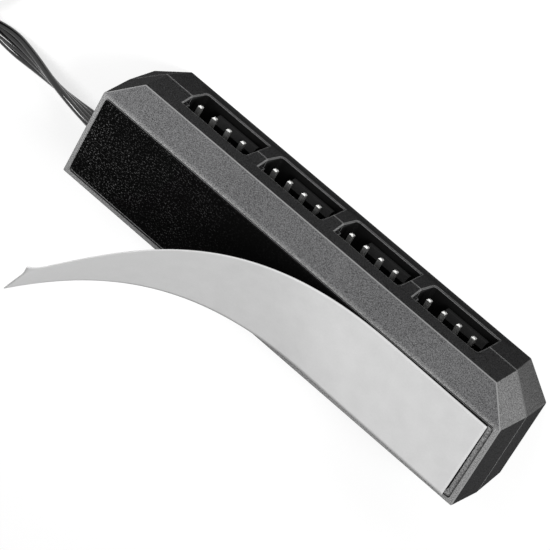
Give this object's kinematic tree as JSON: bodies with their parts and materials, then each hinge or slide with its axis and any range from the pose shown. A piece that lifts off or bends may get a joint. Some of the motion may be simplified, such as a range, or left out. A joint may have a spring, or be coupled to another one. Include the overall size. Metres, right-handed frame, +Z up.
{
  "type": "pc fan controller hub",
  "caption": "Slim rectangular fan hub for a PC case: a row of keyed pin sockets along one side, a lead at one end and an adhesive pad with a half-peeled liner.",
  "frame": {"origin": "middle of the cover face that the hub lies on", "axes": "+X along the row of ports away from the lead, +Y out of the ports, +Z up, out of the adhesive face"},
  "size_m": [0.1347, 0.034, 0.0407],
  "materials": {
    "housing": "fine satin",
    "board": "satin",
    "pad_foam": "matt foam",
    "liner_paper": "satin coated",
    "header_nylon": "satin",
    "pin_tin": "tin plated",
    "wire_pvc": "glossy",
    "tie": "satin",
    "plug_nylon": "satin",
    "terminal": "tin plated"
  },
  "bodies": {
    "root": {"base_shell": "housing", "cover_shell": "housing", "circuit_board": "board", "adhesive_pad": "pad_foam", "release_liner": "liner_paper", "header_body_1": "header_nylon", "header_body_2": "header_nylon", "header_body_3": "header_nylon", "header_body_4": "header_nylon", "header_pin_1_1": "pin_tin", "header_pin_1_2": "pin_tin", "header_pin_1_3": "pin_tin", "header_pin_1_4": "pin_tin", "header_pin_2_1": "pin_tin", "header_pin_2_2": "pin_tin", "header_pin_2_3": "pin_tin", "header_pin_2_4": "pin_tin", "header_pin_3_1": "pin_tin", "header_pin_3_2": "pin_tin", "header_pin_3_3": "pin_tin", "header_pin_3_4": "pin_tin", "header_pin_4_1": "pin_tin", "header_pin_4_2": "pin_tin", "header_pin_4_3": "pin_tin", "header_pin_4_4": "pin_tin", "lead_wire_1": "wire_pvc", "lead_wire_2": "wire_pvc", "lead_wire_3": "wire_pvc", "lead_wire_4": "wire_pvc", "lead_cable": "wire_pvc", "lead_coil": "wire_pvc", "lead_tail": "wire_pvc", "coil_tie": "tie", "plug_housing": "plug_nylon", "plug_terminal_1": "terminal", "plug_terminal_2": "terminal", "plug_terminal_3": "terminal", "plug_terminal_4": "terminal"}
  },
  "joints": []
}
